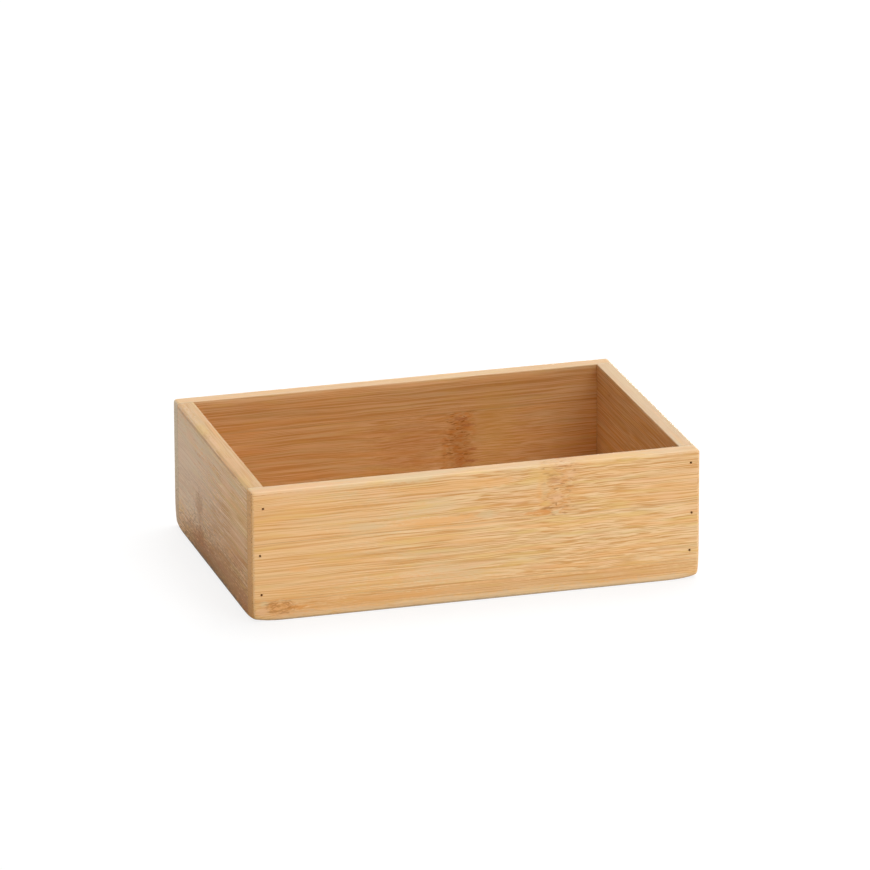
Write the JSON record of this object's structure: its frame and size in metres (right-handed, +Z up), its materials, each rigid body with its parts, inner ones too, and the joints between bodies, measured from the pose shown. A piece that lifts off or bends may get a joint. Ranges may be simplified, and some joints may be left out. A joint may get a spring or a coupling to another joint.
{
  "type": "bathroom organizer box",
  "caption": "Open-topped rectangular bamboo tray box with butted and pinned corners and a grooved-in floor panel, for small toiletries.",
  "frame": {"origin": "middle of the box on the surface that it stands on", "axes": "+X along the front board to the right, +Y from the front board to the back board, +Z up out of the open top"},
  "size_m": [0.15, 0.1, 0.044],
  "materials": {
    "front_bamboo": "flat-pressed bamboo, sanded, clear matt lacquer",
    "back_bamboo": "flat-pressed bamboo, sanded, clear matt lacquer",
    "left_bamboo": "flat-pressed bamboo, sanded, clear matt lacquer",
    "right_bamboo": "flat-pressed bamboo, sanded, clear matt lacquer",
    "floor_bamboo": "flat-pressed bamboo panel, sanded, clear matt lacquer",
    "pin_steel": "dark drawn wire"
  },
  "bodies": {
    "root": {"front_board": "front_bamboo", "back_board": "back_bamboo", "left_board": "left_bamboo", "right_board": "right_bamboo", "floor_panel": "floor_bamboo", "front_left_upper_pin": "pin_steel", "front_left_middle_pin": "pin_steel", "front_left_lower_pin": "pin_steel", "front_right_upper_pin": "pin_steel", "front_right_middle_pin": "pin_steel", "front_right_lower_pin": "pin_steel", "back_left_upper_pin": "pin_steel", "back_left_middle_pin": "pin_steel", "back_left_lower_pin": "pin_steel", "back_right_upper_pin": "pin_steel", "back_right_middle_pin": "pin_steel", "back_right_lower_pin": "pin_steel"}
  },
  "joints": []
}
